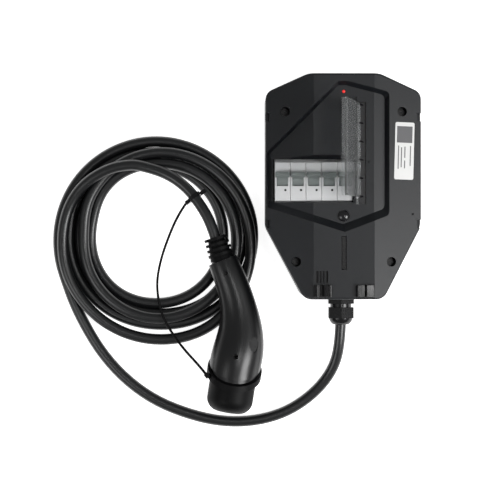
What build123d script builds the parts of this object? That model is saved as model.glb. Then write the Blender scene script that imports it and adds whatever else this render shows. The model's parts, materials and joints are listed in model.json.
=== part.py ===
from build123d import *

import os
from math import atan2, cos, hypot, radians, sin, tan

# Wall-mounted charging point for electric cars, lying on its back with its cable coiled beside it.
# Seen from the front, +X is right and +Y is up. +Z points out of the wall.
# The origin is the centre of the housing's back face. All sizes are in millimetres.

os.makedirs("parts", exist_ok=True)

# Housing outline seen from the front
half_width = 90.0
half_height = 130.0
top_flat = 41.0
foot_flat = 45.6
shoulder_drop = 21.0
hip_rise = 84.0
top_radius = 26.0
shoulder_radius = 12.0
hip_radius = 20.0
foot_radius = 14.0

# Housing depth, folds and walls
body_depth = 88.0
fold_x = 35.0
fold_room = 0.6
side_drop = 15.8
split_z = 46.0
wall = 3.0
seam = 0.2
front_edge_radius = 2.4
back_edge_chamfer = 1.2
fit = 0.3

# Cover gasket in the rim of the rear shell
gasket_inset = 0.9
gasket_width = 1.2
gasket_depth = 1.2

# Recess in the front: rim points clockwise, and the width of the sloped wall at each edge
recess_rim = [
    (-7.0, half_height - 9.5),
    (3.5, half_height - 9.0),
    (52.4, half_height - 21.5),
    (52.4, -33.0),
    (0.9, -52.5),
    (-half_width + 2.0, -24.0),
    (-half_width + 1.6, 39.8),
]
recess_bands = [4.0, 4.5, 5.0, 9.0, 8.0, 2.0, 3.5]
recess_depth = 8.0
recess_corner = 7.0
recess_lift = 1.0

# Cover screws in wells
screw_high = (half_width - 22.5, half_height - 43.7)
screw_low = (half_width - 35.2, -half_height + 43.2)
screw_places = [(side * x, y) for x, y in (screw_high, screw_low) for side in (1, -1)]
well_radius = 5.5
well_seat_height = 12.0
screw_radius = 2.0
screw_head_radius = 4.0
screw_head_height = 3.2
screw_length = 34.0
boss_radius = 6.0

# Side notches that catch a cover clip
notch_ys = (half_height - 49.7, -43.0)
notch_depth = 4.8
notch_height = 9.5
notch_floor_depth = 26.0

# DIN rail and the five modules on it
module_pitch = 18.0
module_gap = 0.3
module_side_room = 10.7
module_count = 5
tied_poles = 4
module_y = 5.85
module_face_depth = 12.0
module_face_height = 44.5
module_height = 85.0
module_shoulder_drop = 16.0
module_depth = 54.0
module_edge = 0.6
rail_behind = 5.0
rail_height = 7.5
rail_width = 35.0
rail_thickness = 1.0
rail_base_half = 13.5
rail_overhang = 4.5
rail_post_width = 10.0
flag_offset_x = 3.4
flag_offset_y = -9.85
flag_radius = 1.4
flag_depth = 0.8
flag_disc_thickness = 0.4

# Breaker toggles: a drum on a shaft, with a handle that leans up when the breaker is on
toggle_offset_y = 1.95
toggle_sink = 8.5
toggle_drum_radius = 9.0
toggle_drum_width = 12.6
toggle_handle_width = 16.4
toggle_handle_start = 11.5
toggle_reach = 17.0
toggle_thickness = 4.8
toggle_lean = 25.0
toggle_shaft_radius = 1.5
toggle_bore_clearance = 0.05
shaft_hole_clearance = 0.1
toggle_window_half = 7.2

# Opening in the cover for the modules
aperture_start_room = 1.4
aperture_end_room = 0.7
aperture_foot_room = 1.6
aperture_head_room = 3.7
aperture_draft = 4.6
aperture_skirt_drop = 7.0

# Clear door and its hinge
hinge_from_aperture = 3.9
hinge_rise = 0.5
hinge_low_y = -11.7
hinge_pitch = 21.1
knuckle_count = 5
knuckle_radius = 3.8
lug_radius = 3.2
lug_thickness = 1.9
hinge_pin_radius = 1.2
hinge_bore_clearance = 0.05
pin_overhang = 1.6
door_lean = 12.6
door_width = 95.0
door_thickness = 2.2
door_offset = 0.1
door_rim_depth = 3.0
door_rim_width = 2.6
door_ridge_height = 1.2
door_ridge_width = 2.2
door_ridge_start = 6.5
latch_tab_start = 5.4
latch_tab_width = 7.0
latch_tab_length = 8.5
slot_from_hinge = 3.4
slot_width = 7.0
slot_low_y = -20.3
slot_high_y = 97.3
slot_depth = 5.8
slot_floor = 2.0
bracket_thickness = 2.8
finger_notch_from_hinge = 5.2
finger_notch_y = 99.4
finger_notch_width = 10.4
finger_notch_height = 8.0
finger_notch_depth = 4.0

# Status light, status lens and push button
led_drop = 20.5
led_radius = 1.7
led_flange_radius = 2.3
led_board_width = 16.0
led_flange_height = 1.2
led_board_height = 7.6
led_post_x = 6.0
led_post_radius = 1.8
lens_width = 5.6
lens_height = 38.6
lens_rise = 53.5
lens_recess = 1.6
board_thickness = 1.6
button_y = -34.0
button_radius = 6.5
button_rise = 1.5
button_dome = 2.6
button_flange = 1.8
button_flange_height = 1.7
button_travel = 1.5
button_stem_radius = 2.2
button_stem_length = 5.4
button_tube_radius = 9.0
button_tube_wall = 2.0
button_tube_length = 13.2
switch_width = 6.0
switch_height = 3.4
switch_plunger_height = 0.7
spring_radius = 5.4
spring_wire = 0.4
spring_pitch = 2.4

# Small features of the front
pin_hole_radius = 1.5
pin_hole_depth = 2.0
recess_pin_hole = (28.5, 28.2)
side_pin_hole = (79.8, -31.7)
pocket_x = -25.4
pocket_rise = 25.8
pocket_width = 13.8
pocket_height = 13.7
pocket_depth = 5.0
pocket_rib_width = 1.2
clip_inner_x = 14.0
clip_width = 20.6
clip_rise_from_foot = 2.8
clip_length = 14.0
clip_base = 1.6
clip_rise = 4.4
clip_narrow = 5.2
clip_wide = 10.4
label_from_side = 20.0
label_y = 41.0
label_width = 23.5
label_height = 66.0
label_thickness = 0.3
label_turn = -1.5

# Wall bolts, and the closed entry for the supply cable
wall_bolt_x = 44.0
wall_bolt_drop = 22.0
wall_bolt_rise = 18.0
wall_bolt_radius = 3.0
grommet_y = 84.0
grommet_radius = 10.0
grommet_flange = 3.0
grommet_sink = 1.2

# Boards and parts inside
control_width = 88.0
control_height = 46.0
control_y = -79.5
control_z = 12.0
standoff_radius = 3.0
supply_x = -35.0
supply_y = 76.0
supply_size = (40.0, 40.0, 30.0)
contactor_x = 38.0
contactor_y = 78.0
contactor_size = (38.0, 44.0, 52.0)
sensor_x = 50.0
sensor_y = 26.0
sensor_radius = 19.0
sensor_bore = 9.0
sensor_height = 16.0
terminal_x = 52.0
terminal_y = -12.0
terminal_size = (44.0, 16.0, 20.0)
wire_radius = 1.5
wire_step = 4.0
wire_rise = 8.0

# Cable gland in the foot of the rear shell
gland_z = 24.0
gland_thread_radius = 12.5
gland_flats = 30.0
gland_flange_length = 7.0
gland_neck_length = 4.0
gland_spigot_length = 7.8
gland_inside_length = 12.0
gland_bore = 7.2
spigot_radius = 10.8
nut_flats = 29.4
nut_length = 13.0
nut_dome_length = 7.6
nut_dome_end = 9.2
nut_bore = 6.9
locknut_length = 5.0

# Cable, coil and their routes on the surface that the wallbox lies on
cable_radius = 6.5
floor_gap = 0.3
cable_z = cable_radius + floor_gap
coil_centre = (-219.8, -61.1)
coil_outer = 123.5
coil_inner = 70.0
coil_height = 27.6
coil_edge = 9.0
tail_inside = 22.0
tail_route = [
    (0.0, -half_height - 10.0, gland_z),
    (0.0, -half_height - 44.0, gland_z),
    (-6.0, -half_height - 83.0, 12.5),
    (-31.0, -246.0, cable_z),
    (-70.0, -271.0, cable_z),
    (-119.5, -280.5, cable_z),
    (-170.0, -274.0, cable_z),
    (-228.5, -251.0, cable_z),
    (-277.5, -208.5, cable_z),
    (-312.5, -151.0, cable_z),
    (-328.0, -98.0, cable_z),
]

# Connector, lying level on the coil. Each section is a place on its bent line with a width and height
connector_z = 47.0
connector_sections = [
    (-139.9, -85.2, 34.5, 30.0),
    (-134.2, -99.2, 36.5, 33.0),
    (-126.5, -120.4, 39.0, 35.0),
    (-120.9, -143.8, 44.0, 38.0),
    (-119.0, -163.8, 51.0, 44.0),
    (-120.3, -183.2, 57.8, 52.0),
    (-124.2, -203.6, 60.4, 57.0),
    (-127.7, -226.3, 60.4, 57.0),
]
nose_yaw = 9.0
collar_tilt = 30.0
shell_wall = 2.6
shell_front = 4.0
flange_thickness = 4.0
flange_radius = 28.0
nose_radius = 24.0
nose_flat = 19.0
nose_end = 50.0
power_places = [(-1.0, -14.5), (-1.0, 0.0), (-1.0, 14.5), (-13.0, -8.0), (-13.0, 8.0)]
pilot_places = [(10.5, -6.5), (10.5, 6.5)]
power_hole = 4.4
pilot_hole = 2.9
contact_clearance = 0.2
power_contact_bore = 3.1
pilot_contact_bore = 1.6
contact_start = 10.0
contact_end = 42.0
case_screw_places = [(-136.4, -100.4), (-124.4, -196.5)]
case_post_radius = 4.4
case_well_radius = 2.8
case_screw_radius = 1.2
case_head_radius = 2.4
case_head_height = 2.0
case_seat_z = 5.0
case_screw_length = 12.0
thumb_place = (-103.1, -180.2)
thumb_length = 25.0
thumb_width = 13.0
thumb_depth = 1.3

# Boot behind the connector, and the lead that runs from it into the coil
boot_start = (-139.9, -85.2)
boot_end = (-148.3, -58.3)
boot_core = 10.6
boot_plug = 11.5
boot_plug_length = 7.0
boot_rib_radius = 13.8
boot_rib_width = 3.4
boot_rib_pitch = 6.3
boot_rib_count = 4
boot_clearance = 0.15
boot_seam = 1.0
lead_in_boot = 21.0
lead_past_boot = 43.5
lead_route = [
    (-164.0, -23.0, 44.6),
    (-182.0, 0.5, 40.2),
    (-206.0, 17.0, 36.2),
    (-234.0, 25.5, 34.4),
    (-264.0, 26.0, 30.6),
    (-292.0, 16.5, 24.5),
]

# Dust cap over the nose, its collar, and the tether to the tie on the lead
cap_radius = 27.0
cap_bore = 24.6
cap_end = 60.5
cap_roof = 3.0
cap_edge = 15.5
cap_bore_edge = 9.0
cap_gap = 0.3
collar_radius = 32.0
collar_thickness = 7.0
lug_block = (6.0, 5.0, 6.0)
lug_angle = 26.0
lug_sink = 0.6
tether_radius = 1.5
tie_clearance = 0.3
tie_thickness = 1.3
tie_width = 4.6
tie_head = 5.6
tie_strap = 15.0
tether_turn = 50.0
tether_gap = 0.9
tether_last_run = 11.0
tether_last_rise = 4.5
tether_middle = [
    (-192.6, -32.5, 38.5),
    (-204.0, -58.0, 31.0),
    (-214.0, -87.0, 27.0),
    (-218.6, -116.0, 28.5),
    (-212.8, -149.0, 31.4),
    (-200.0, -171.5, 32.0),
    (-185.2, -190.5, 40.0),
]

# Worked-out values shared by several pieces
side_slope = side_drop / (half_width - fold_x)
recess_floor_z = body_depth - recess_depth
recess_under_z = recess_floor_z - wall
cover_under_z = body_depth - wall
module_width = module_pitch - module_gap
shoulder_y = half_height - shoulder_drop
hip_y = -half_height + hip_rise
well_seat_z = split_z + well_seat_height
notch_floor_z = body_depth - notch_floor_depth
module_first_x = -half_width + module_side_room
module_face_z = body_depth - module_face_depth
module_shoulder_z = module_face_z - module_shoulder_drop
module_back_z = module_face_z - module_depth
rail_z = module_back_z - rail_behind
flag_y = module_y + flag_offset_y
toggle_y = module_y + toggle_offset_y
toggle_z = module_face_z - toggle_sink
aperture_left = module_first_x - aperture_start_room
aperture_right = module_first_x + module_count * module_pitch + aperture_end_room
aperture_low = module_y - module_face_height / 2 - aperture_foot_room
aperture_high = module_y + module_face_height / 2 + aperture_head_room
aperture_skirt_z = module_face_z - aperture_skirt_drop
hinge_x = aperture_right + hinge_from_aperture
hinge_z = body_depth + hinge_rise
slot_left = hinge_x + slot_from_hinge
finger_notch_x = hinge_x - finger_notch_from_hinge
led_y = half_height - led_drop
lens_y = -half_height + lens_rise
pocket_y = -half_height + pocket_rise
clip_low_y = -half_height + clip_rise_from_foot
label_x = half_width - label_from_side
wall_bolt_high = half_height - wall_bolt_drop
wall_bolt_low = -half_height + wall_bolt_rise
wire_z = module_back_z + wire_rise


def front_height(x):
    """Height of the front surface over a place x."""
    return body_depth - side_slope * max(0.0, abs(x) - fold_x)


def housing_face(inset, height):
    """Housing outline moved inwards by inset, as a face at a height."""
    right = [
        (top_flat, half_height),
        (half_width, shoulder_y),
        (half_width, hip_y),
        (foot_flat, -half_height),
    ]
    left = [(-x, y) for x, y in reversed(right)]
    radii = [top_radius, shoulder_radius, hip_radius, foot_radius]
    for i, far in ((0, right[1]), (3, right[2])):
        turn = atan2(abs(far[1] - right[i][1]), far[0] - right[i][0])
        radii[i] = min(radii[i], (right[i][0] - fold_x - fold_room) / tan(turn / 2))
    with BuildSketch(Plane.XY.offset(height)) as sketch:
        with BuildLine():
            FilletPolyline(*right, *left, radius=radii + radii[::-1], close=True)
        make_face()
        if inset > 0:
            offset(amount=-inset)
    return sketch.sketch


def under_front(drop):
    """Everything behind the front surface when that is lowered by drop."""
    reach = half_width + 10.0
    with BuildPart() as block:
        with BuildSketch(Plane.XZ):
            with BuildLine():
                Polyline(
                    (-reach, 0.0),
                    (-reach, front_height(reach) - drop),
                    (-fold_x, body_depth - drop),
                    (fold_x, body_depth - drop),
                    (reach, front_height(reach) - drop),
                    (reach, 0.0),
                    close=True,
                )
            make_face()
        extrude(amount=half_height + 10.0, both=True)
    return block.part


def moved_edges(points, distances):
    """Clockwise polygon with each edge moved inwards by its own distance."""
    moved = []
    count = len(points)
    for i, here in enumerate(points):
        before, after = points[i - 1], points[(i + 1) % count]
        lines = []
        for start, end, distance in ((before, here, distances[i - 1]), (here, after, distances[i])):
            dx, dy = end[0] - start[0], end[1] - start[1]
            length = hypot(dx, dy)
            nx, ny = dy / length, -dx / length
            lines.append((nx, ny, nx * here[0] + ny * here[1] + distance))
        (ax, ay, ac), (bx, by, bc) = lines
        det = ax * by - ay * bx
        moved.append(((ac * by - ay * bc) / det, (ax * bc - ac * bx) / det))
    return moved


def clipped(points, low, high):
    """The part of a polygon with x between low and high."""
    for limit, side in ((low, 1.0), (high, -1.0)):
        kept = []
        for i, here in enumerate(points):
            before = points[i - 1]
            inside = side * (here[0] - limit) >= 0
            if inside != (side * (before[0] - limit) >= 0):
                share = (limit - before[0]) / (here[0] - before[0])
                kept.append((limit, before[1] + share * (here[1] - before[1])))
            if inside:
                kept.append(here)
        points = kept
    return points


def recess_block(grow, depth):
    """Space of the recess: rim grown outwards, floor at a depth, one block over each facet."""
    layers = []
    for drop in (-recess_lift, depth):
        insets = [band * drop / recess_depth - grow for band in recess_bands]
        layers.append((drop, moved_edges(recess_rim, insets)))
    far = 2 * half_width
    with BuildPart() as block:
        for low, high in ((-far, -fold_x), (-fold_x, fold_x), (fold_x, far)):
            sections = []
            for drop, points in layers:
                corners = [(x, y, front_height(x) - drop) for x, y in clipped(points, low, high)]
                sections.append(Face(Wire.make_polygon(corners, close=True)))
            loft(sections, ruled=True)
        corner_edges = []
        for i in (2, 3):
            ends = [(*points[i], front_height(points[i][0]) - drop) for drop, points in layers]
            middle = (Vector(*ends[0]) + Vector(*ends[1])) / 2
            corner_edges.append(block.edges().sort_by_distance(middle)[0])
        fillet(corner_edges, recess_corner + grow)
    return block.part


def bend_radii(points):
    """Radius for each corner: 0.45 of its shorter run over the tangent of half the turn."""
    places = [Vector(*p) for p in points]
    radii = []
    for a, b, c in zip(places, places[1:], places[2:]):
        turn = (b - a).get_angle(c - b)
        radii.append(0.45 * min((b - a).length, (c - b).length) / tan(radians(turn) / 2))
    return radii


def tube_along(points, radius, label):
    """Round tube of straight runs and tangent arcs along a route."""
    radii = bend_radii(points)
    with BuildPart() as tube:
        with BuildLine() as path:
            FilletPolyline(*points, radius=radii)
        route = path.wires()[0]
        with BuildSketch(Plane(origin=route @ 0, z_dir=route % 0)):
            Circle(radius)
        sweep(path=route)
    length = route.length
    share = tube.part.volume / (length * 3.14159265 * radius**2)
    print(label, "length", round(length), "volume share", round(share, 4), "radii", [round(r) for r in radii])
    tube.part.label = label
    return tube.part


def write(part, name):
    """Label a finished piece and write it."""
    part.label = name
    export_step(part, f"parts/{name}.step")


# Rear shell: a tray with bosses, posts for the rail and the boards, and the holes in its walls
seat_z = split_z - seam
with BuildPart() as rear_shell:
    extrude(housing_face(0, 0), amount=seat_z)
    back_edges = rear_shell.faces().sort_by(Axis.Z)[0].edges()
    chamfer(back_edges, back_edge_chamfer)
    extrude(housing_face(wall, wall), amount=seat_z, mode=Mode.SUBTRACT)
    extrude(housing_face(gasket_inset, seat_z), amount=-gasket_depth, mode=Mode.SUBTRACT)
    extrude(housing_face(gasket_inset + gasket_width, seat_z), amount=-gasket_depth)
    extrude(housing_face(wall, wall), amount=seat_z, mode=Mode.SUBTRACT)
    for x, y in screw_places:
        with Locations((x, y, wall)):
            Cylinder(boss_radius, seat_z - wall, align=(Align.CENTER, Align.CENTER, Align.MIN))
    for x in (module_first_x + rail_post_width, module_first_x + module_count * module_pitch - rail_post_width):
        with Locations((x, module_y, wall)):
            Box(rail_post_width, 2 * rail_base_half, rail_z - wall, align=(Align.CENTER, Align.CENTER, Align.MIN))
    for x in (-1, 1):
        for y in (-1, 1):
            board_corner = (x * (control_width / 2 - 5.0), control_y + y * (control_height / 2 - 5.0), wall)
            with Locations(board_corner):
                Cylinder(standoff_radius, control_z - wall, align=(Align.CENTER, Align.CENTER, Align.MIN))
    with Locations(*[(x, y, seat_z) for x, y in screw_places]):
        Cylinder(screw_radius + 0.1, 2 * screw_length, mode=Mode.SUBTRACT)
    with Locations(*[(x, y) for x in (-wall_bolt_x, wall_bolt_x) for y in (wall_bolt_low, wall_bolt_high)]):
        Cylinder(wall_bolt_radius, 4 * wall, mode=Mode.SUBTRACT)
    with BuildSketch(Plane.XZ.offset(half_height + 1.0)):
        with Locations((0, gland_z)):
            Circle(gland_thread_radius + 0.1)
    extrude(amount=-wall - 2.0, mode=Mode.SUBTRACT)
    with Locations((0, grommet_y, 0)):
        Cylinder(grommet_radius, 4 * wall, mode=Mode.SUBTRACT)
        Cylinder(grommet_radius + grommet_flange, 2 * grommet_sink, mode=Mode.SUBTRACT)
write(rear_shell.part, "rear_shell")

# Gasket in the groove of the rear shell's rim
groove_fit = 0.05
with BuildPart() as cover_gasket:
    gasket_low = seat_z - gasket_depth
    gasket_outer = gasket_inset + groove_fit
    gasket_inner = gasket_inset + gasket_width - groove_fit
    extrude(housing_face(gasket_outer, gasket_low), amount=split_z - gasket_low)
    extrude(housing_face(gasket_inner, gasket_low), amount=split_z - gasket_low, mode=Mode.SUBTRACT)
write(cover_gasket.part, "cover_gasket")

# Hollow inside the cover, which leaves a lining under every sunk feature
button_tube_outer = button_tube_radius + button_tube_wall
with BuildPart() as cover_hollow:
    extrude(housing_face(wall, split_z), amount=body_depth - split_z)
    add(under_front(wall), mode=Mode.INTERSECT)
    add(recess_block(wall, recess_depth + wall), mode=Mode.SUBTRACT)
    for x, y in screw_places:
        with Locations((x, y, split_z)):
            Cylinder(
                well_radius + wall / 2,
                body_depth,
                align=(Align.CENTER, Align.CENTER, Align.MIN),
                mode=Mode.SUBTRACT,
            )
    for side in (-1, 1):
        for y in notch_ys:
            with Locations((side * half_width, y, notch_floor_z - wall)):
                Box(
                    2 * (notch_depth + wall),
                    notch_height + 2 * wall,
                    body_depth,
                    align=(Align.CENTER, Align.CENTER, Align.MIN),
                    mode=Mode.SUBTRACT,
                )
    with Locations((slot_left + slot_width / 2, (slot_low_y + slot_high_y) / 2, recess_floor_z)):
        Box(
            slot_width + 2 * slot_floor,
            slot_high_y - slot_low_y + 2 * slot_floor,
            2 * (slot_depth + slot_floor),
            mode=Mode.SUBTRACT,
        )
    with Locations((finger_notch_x, finger_notch_y, recess_floor_z)):
        Box(
            finger_notch_width + 2 * slot_floor,
            finger_notch_height + 2 * slot_floor,
            2 * (finger_notch_depth + slot_floor),
            mode=Mode.SUBTRACT,
        )
    with Locations((pocket_x, pocket_y, body_depth)):
        Box(
            pocket_width + 2 * slot_floor,
            pocket_height + 2 * slot_floor,
            2 * (pocket_depth + slot_floor),
            mode=Mode.SUBTRACT,
        )
    with BuildSketch(Plane.YZ.offset(aperture_left - slot_floor)):
        with BuildLine():
            Polyline(
                (aperture_high - slot_floor, aperture_skirt_z),
                (aperture_high + slot_floor, aperture_skirt_z),
                (aperture_high + aperture_draft + slot_floor, recess_floor_z),
                (aperture_high - slot_floor, recess_floor_z),
                close=True,
            )
        make_face()
    extrude(amount=aperture_right - aperture_left + 2 * slot_floor, mode=Mode.SUBTRACT)
    for x in (-led_post_x, led_post_x):
        with Locations((x, led_y, recess_under_z)):
            Cylinder(led_post_radius, 2 * (led_flange_height + seam - 0.1), mode=Mode.SUBTRACT)
    with Locations((0, button_y, recess_under_z)):
        Cylinder(button_tube_outer, 2 * button_tube_length, mode=Mode.SUBTRACT)

# Front cover: three facets, the recess, wells for the screws and every opening
with BuildPart() as front_cover:
    extrude(housing_face(0, split_z), amount=body_depth - split_z)
    add(under_front(0), mode=Mode.INTERSECT)
    rim_edges = []
    for edge in front_cover.edges():
        box = edge.bounding_box()
        on_fold = box.size.X < 0.01 and abs(abs(box.min.X) - fold_x) < 0.01 and box.size.Y > half_height
        if box.min.Z > front_height(half_width) - 1.0 and not on_fold:
            rim_edges.append(edge)
    fillet(rim_edges, front_edge_radius)
    add(cover_hollow.part, mode=Mode.SUBTRACT)
    add(recess_block(0, recess_depth), mode=Mode.SUBTRACT)
    for x, y in screw_places:
        with Locations((x, y, well_seat_z)):
            Cylinder(
                well_radius, body_depth, align=(Align.CENTER, Align.CENTER, Align.MIN), mode=Mode.SUBTRACT
            )
        with Locations((x, y, split_z)):
            Cylinder(screw_radius + 0.2, body_depth, mode=Mode.SUBTRACT)
    for side in (-1, 1):
        for y in notch_ys:
            with Locations((side * half_width, y, notch_floor_z)):
                Box(
                    2 * notch_depth,
                    notch_height,
                    body_depth,
                    align=(Align.CENTER, Align.CENTER, Align.MIN),
                    mode=Mode.SUBTRACT,
                )
    with Locations(((aperture_left + aperture_right) / 2, (aperture_low + aperture_high) / 2, body_depth)):
        Box(
            aperture_right - aperture_left,
            aperture_high - aperture_low,
            2 * (body_depth - split_z - 1.0),
            mode=Mode.SUBTRACT,
        )
    with BuildSketch(Plane.YZ.offset(aperture_left)):
        with BuildLine():
            draft_slope = aperture_draft / (recess_floor_z - aperture_skirt_z)
            Polyline(
                (aperture_high - slot_floor, aperture_skirt_z - 1.0),
                (aperture_high - draft_slope, aperture_skirt_z - 1.0),
                (aperture_high + aperture_draft + draft_slope * recess_depth, body_depth),
                (aperture_high - slot_floor, body_depth),
                close=True,
            )
        make_face()
    extrude(amount=aperture_right - aperture_left, mode=Mode.SUBTRACT)
    with Locations((slot_left + slot_width / 2, (slot_low_y + slot_high_y) / 2, recess_floor_z)):
        Box(slot_width, slot_high_y - slot_low_y, 2 * slot_depth, mode=Mode.SUBTRACT)
    with Locations((finger_notch_x, finger_notch_y, recess_floor_z)):
        Box(finger_notch_width, finger_notch_height, 2 * finger_notch_depth, mode=Mode.SUBTRACT)
    with Locations((pocket_x, pocket_y, body_depth)):
        Box(pocket_width, pocket_height, 2 * pocket_depth, mode=Mode.SUBTRACT)
    for x in (-pocket_width / 4, 0, pocket_width / 4):
        with Locations((pocket_x + x, pocket_y, body_depth - pocket_depth)):
            Box(
                pocket_rib_width,
                pocket_height + wall,
                pocket_depth - 1.0,
                align=(Align.CENTER, Align.CENTER, Align.MIN),
            )
    with Locations((0, lens_y, body_depth)):
        Box(lens_width, lens_height, 4 * wall, mode=Mode.SUBTRACT)
    with Locations((0, led_y, recess_floor_z)):
        Cylinder(led_radius + 0.15, 4 * wall, mode=Mode.SUBTRACT)
    with Locations((0, button_y, recess_floor_z)):
        Cylinder(button_radius + fit, 4 * wall, mode=Mode.SUBTRACT)
    with Locations((0, button_y, recess_under_z)):
        Cylinder(
            button_tube_radius,
            2 * button_tube_length,
            align=(Align.CENTER, Align.CENTER, Align.MAX),
            mode=Mode.SUBTRACT,
        )
    with Locations((*recess_pin_hole, recess_floor_z)):
        Cylinder(pin_hole_radius, 2 * pin_hole_depth, mode=Mode.SUBTRACT)
    with Locations((*side_pin_hole, front_height(side_pin_hole[0]))):
        Cylinder(pin_hole_radius, 2 * pin_hole_depth, mode=Mode.SUBTRACT)
write(front_cover.part, "front_cover")

# Four cover screws with a hexagon socket
with BuildPart() as cover_screws:
    for x, y in screw_places:
        with Locations((x, y, well_seat_z)):
            Cylinder(screw_head_radius, screw_head_height, align=(Align.CENTER, Align.CENTER, Align.MIN))
            Cylinder(screw_radius, screw_length, align=(Align.CENTER, Align.CENTER, Align.MAX))
    with BuildSketch(Plane.XY.offset(well_seat_z + screw_head_height)):
        with Locations(*screw_places):
            RegularPolygon(screw_head_radius / 2, 6)
    extrude(amount=-screw_head_height * 0.7, mode=Mode.SUBTRACT)
write(cover_screws.part, "cover_screws")

# Two glossy clips at the foot: a base with a narrow and a wide block and a groove between them
for name, side in (("clip_left", -1), ("clip_right", 1)):
    with BuildPart() as clip:
        start = -clip_inner_x - clip_width if side < 0 else clip_inner_x
        with BuildSketch(Plane.XZ.offset(-clip_low_y)):
            with BuildLine():
                FilletPolyline(
                    (start, body_depth),
                    (start, body_depth + clip_base + clip_rise),
                    (start + clip_narrow, body_depth + clip_base + clip_rise),
                    (start + clip_narrow, body_depth + clip_base),
                    (start + clip_width - clip_wide, body_depth + clip_base),
                    (start + clip_width - clip_wide, body_depth + clip_base + clip_rise),
                    (start + clip_width, body_depth + clip_base + clip_rise),
                    (start + clip_width, body_depth),
                    radius=[0, 1.4, 1.4, 0.8, 0.8, 1.8, 1.8, 0],
                    close=True,
                )
            make_face()
        extrude(amount=-clip_length)
        end_edges = clip.faces().sort_by(Axis.Y)[0].edges() + clip.faces().sort_by(Axis.Y)[-1].edges()
        chamfer([e for e in end_edges if e.center().Z > body_depth + 0.5], 0.5)
    write(clip.part, name)

# Label on the right facet
facet_tilt = Vector(side_slope, 0, 1).normalized()
facet_along = Vector(1, 0, -side_slope).normalized()
label_along = facet_along * cos(radians(label_turn)) + Vector(0, 1, 0) * sin(radians(label_turn))
label_plane = Plane(
    origin=(label_x, label_y, front_height(label_x)), x_dir=label_along, z_dir=facet_tilt
)
with BuildPart() as rating_label:
    with BuildSketch(label_plane):
        RectangleRounded(label_width, label_height, 2.0)
    extrude(amount=label_thickness)
write(rating_label.part, "rating_label")

# Status lens that fills the slot from behind
lens_top = body_depth - lens_recess
lens_flange_top = cover_under_z - seam
with BuildPart() as status_lens:
    with Locations((0, lens_y, lens_flange_top)):
        Box(
            lens_width - fit,
            lens_height - fit,
            lens_top - lens_flange_top,
            align=(Align.CENTER, Align.CENTER, Align.MIN),
        )
        Box(lens_width + wall, lens_height + wall, wall / 2, align=(Align.CENTER, Align.CENTER, Align.MAX))
    fillet(status_lens.faces().sort_by(Axis.Z)[-1].edges(), 0.5)
write(status_lens.part, "status_lens")

# Status light with its flange under the cover
led_flange_low = recess_under_z - seam - led_flange_height
with BuildPart() as status_led:
    with Locations((0, led_y, led_flange_low)):
        Cylinder(led_flange_radius, led_flange_height, align=(Align.CENTER, Align.CENTER, Align.MIN))
        Cylinder(
            led_radius, recess_floor_z + 0.3 - led_flange_low, align=(Align.CENTER, Align.CENTER, Align.MIN)
        )
    with Locations((0, led_y, recess_floor_z + 0.3)):
        Sphere(led_radius)
write(status_led.part, "status_led")

# Board that carries the status light, held by two posts of the cover
with BuildPart() as led_board:
    with Locations((0, led_y, led_flange_low)):
        Box(
            led_board_width,
            led_board_height,
            board_thickness,
            align=(Align.CENTER, Align.CENTER, Align.MAX),
        )
write(led_board.part, "led_board")

# Push button: domed head, flange that stops under the cover, and stem
button_flange_top = recess_under_z - fit
button_flange_low = button_flange_top - button_flange_height
button_top = recess_floor_z + button_rise
dome_radius = (button_radius**2 + button_dome**2) / (2 * button_dome)
with BuildPart() as push_button:
    with Locations((0, button_y, button_flange_low)):
        Cylinder(
            button_radius + button_flange,
            button_flange_height,
            align=(Align.CENTER, Align.CENTER, Align.MIN),
        )
        Cylinder(
            button_radius, button_top - button_flange_low, align=(Align.CENTER, Align.CENTER, Align.MIN)
        )
        Cylinder(button_stem_radius, button_stem_length, align=(Align.CENTER, Align.CENTER, Align.MAX))
    with BuildPart(mode=Mode.PRIVATE) as dome:
        with Locations((0, button_y, button_top + button_dome - dome_radius)):
            Sphere(dome_radius)
        with Locations((0, button_y, button_top)):
            Cylinder(
                button_radius,
                button_dome,
                align=(Align.CENTER, Align.CENTER, Align.MIN),
                mode=Mode.INTERSECT,
            )
    add(dome.part)
write(push_button.part, "push_button")

# Board and switch under the button, and the spring round the stem
button_board_top = recess_under_z - button_tube_length - seam
with BuildPart() as button_board:
    with Locations((0, button_y, button_board_top)):
        Cylinder(button_tube_outer, board_thickness, align=(Align.CENTER, Align.CENTER, Align.MAX))
write(button_board.part, "button_board")

with BuildPart() as button_switch:
    with Locations((0, button_y, button_board_top)):
        Box(switch_width, switch_width, switch_height, align=(Align.CENTER, Align.CENTER, Align.MIN))
        Cylinder(
            button_stem_radius,
            switch_height + switch_plunger_height,
            align=(Align.CENTER, Align.CENTER, Align.MIN),
        )
write(button_switch.part, "button_switch")

spring_low = button_board_top + spring_wire + 0.05
spring_high = button_flange_low - spring_wire - 0.05
with BuildPart() as button_spring:
    with BuildLine(Plane(origin=(0, button_y, spring_low))) as coil_line:
        Helix(pitch=spring_pitch, height=spring_high - spring_low, radius=spring_radius)
    with BuildSketch(Plane(origin=coil_line.line @ 0, z_dir=coil_line.line % 0)):
        Circle(spring_wire)
    sweep(path=coil_line.line, is_frenet=True)
write(button_spring.part, "button_spring")

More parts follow.
